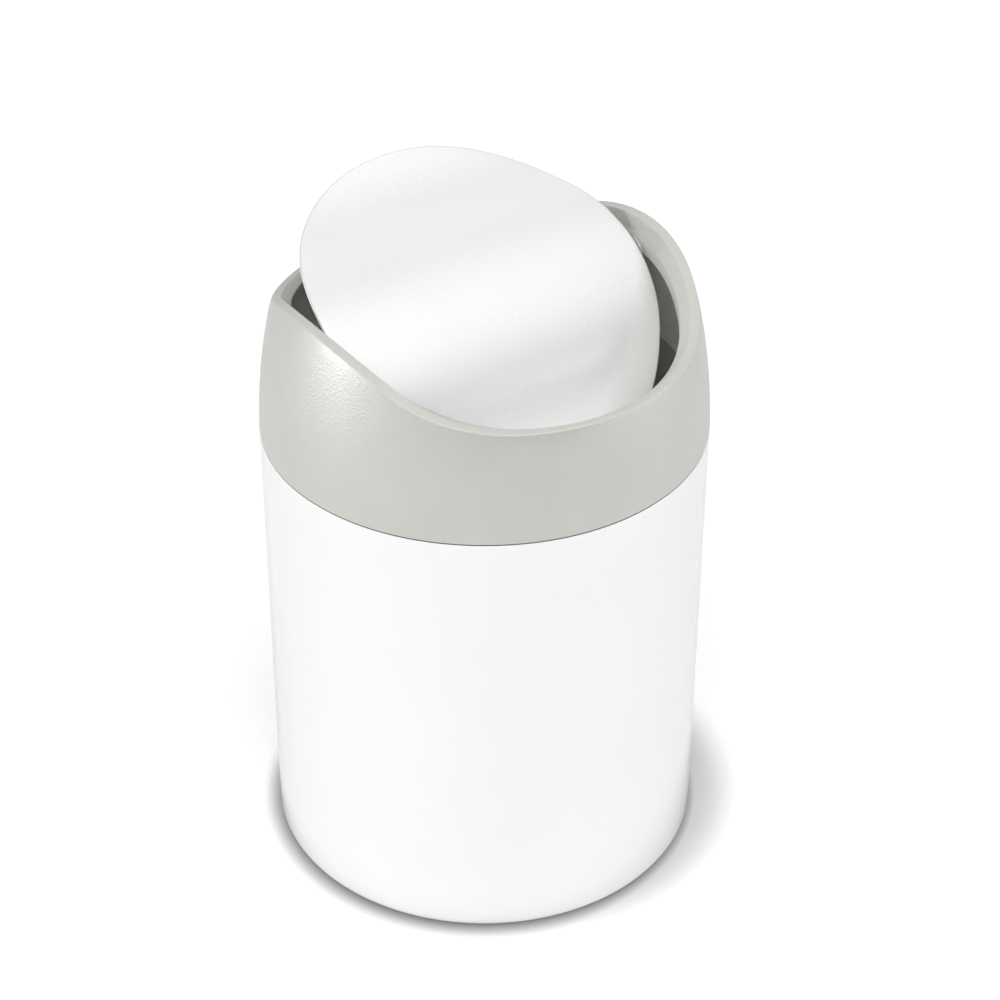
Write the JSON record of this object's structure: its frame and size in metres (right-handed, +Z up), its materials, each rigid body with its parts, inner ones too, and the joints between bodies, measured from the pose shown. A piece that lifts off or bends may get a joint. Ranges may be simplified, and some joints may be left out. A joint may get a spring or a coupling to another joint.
{
  "type": "countertop trash can with swing lid",
  "caption": "Small round steel countertop bin with a barrel-shaped plastic collar and a wave-shaped lid that swings on two side pivots, standing open.",
  "frame": {"origin": "centre of the flat face that the non-skid ring stands on", "axes": "+Z up; the lid's pivot line is along X; -Y is the front, where the open lid dips into the can"},
  "size_m": [0.12, 0.12, 0.1883],
  "materials": {
    "white_paint": "gloss white paint",
    "white_lid": "gloss white paint",
    "base_steel": "satin white paint",
    "base_rubber": "matte",
    "collar_plastic": "fine-grained matte",
    "inner_plastic": "matte",
    "soft_grip": "matte",
    "nylon": "satin",
    "zinc_steel": "zinc plated",
    "pin_steel": "ground",
    "weight_steel": "plain"
  },
  "bodies": {
    "can": {"body_shell": "white_paint", "bottom_plate": "base_steel", "base_ring": "base_rubber"},
    "collar_set": {"collar": "collar_plastic", "mouth_ring": "inner_plastic", "grip_ring": "soft_grip", "collar_screws": "zinc_steel", "bush_left": "nylon", "bush_right": "nylon", "stop_pads": "soft_grip"},
    "lid": {"lid_panel": "white_lid", "lid_carrier": "inner_plastic", "lid_studs": "zinc_steel", "lid_nuts": "zinc_steel", "pivot_pin_left": "pin_steel", "pivot_pin_right": "pin_steel", "counterweight": "weight_steel", "weight_screws": "zinc_steel"}
  },
  "joints": [
    {"name": "collar_lift", "type": "slide", "parent": "can", "child": "collar_set", "axis": [0, 0, 1], "range_m": [0, 0.03]},
    {"name": "lid_swing", "type": "hinge", "parent": "collar_set", "child": "lid", "pos_m": [0, 0, 0.165], "axis": [1, 0, 0], "range_deg": [-97, 33]}
  ]
}
